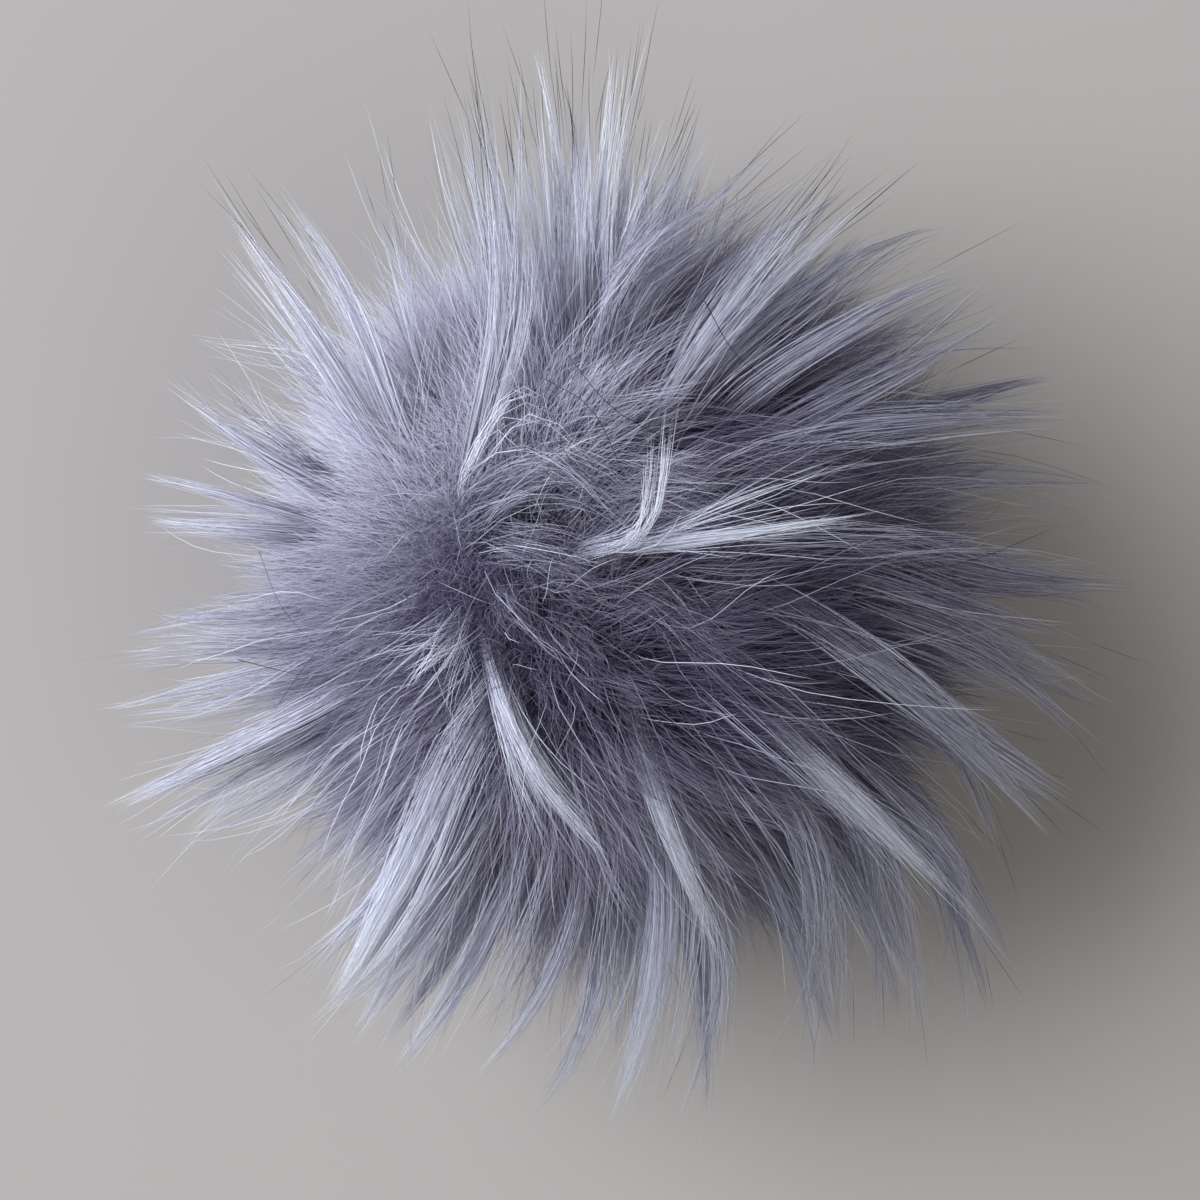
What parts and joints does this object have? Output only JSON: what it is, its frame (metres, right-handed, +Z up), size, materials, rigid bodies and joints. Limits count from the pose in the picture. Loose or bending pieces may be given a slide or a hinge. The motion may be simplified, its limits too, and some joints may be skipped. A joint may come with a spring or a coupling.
{
  "type": "faux fur pom pom",
  "caption": "Round long-pile fur pom pom: a soft ball with tapering locks that part at a whorl on top, sweep outwards all round, and lie short underneath.",
  "frame": {"origin": "centre of the flat spot that the ball rests on, on the surface under it", "axes": "+Z up from the flat spot through the crown; +X and +Y are the right and the far side of the plan as it lies"},
  "size_m": [0.1407, 0.1435, 0.1013],
  "materials": {
    "pile": "long acrylic fur pile, soft sheen, lilac grey with silver-white tips"
  },
  "bodies": {
    "root": {"fur_pompom": "pile"}
  },
  "joints": []
}
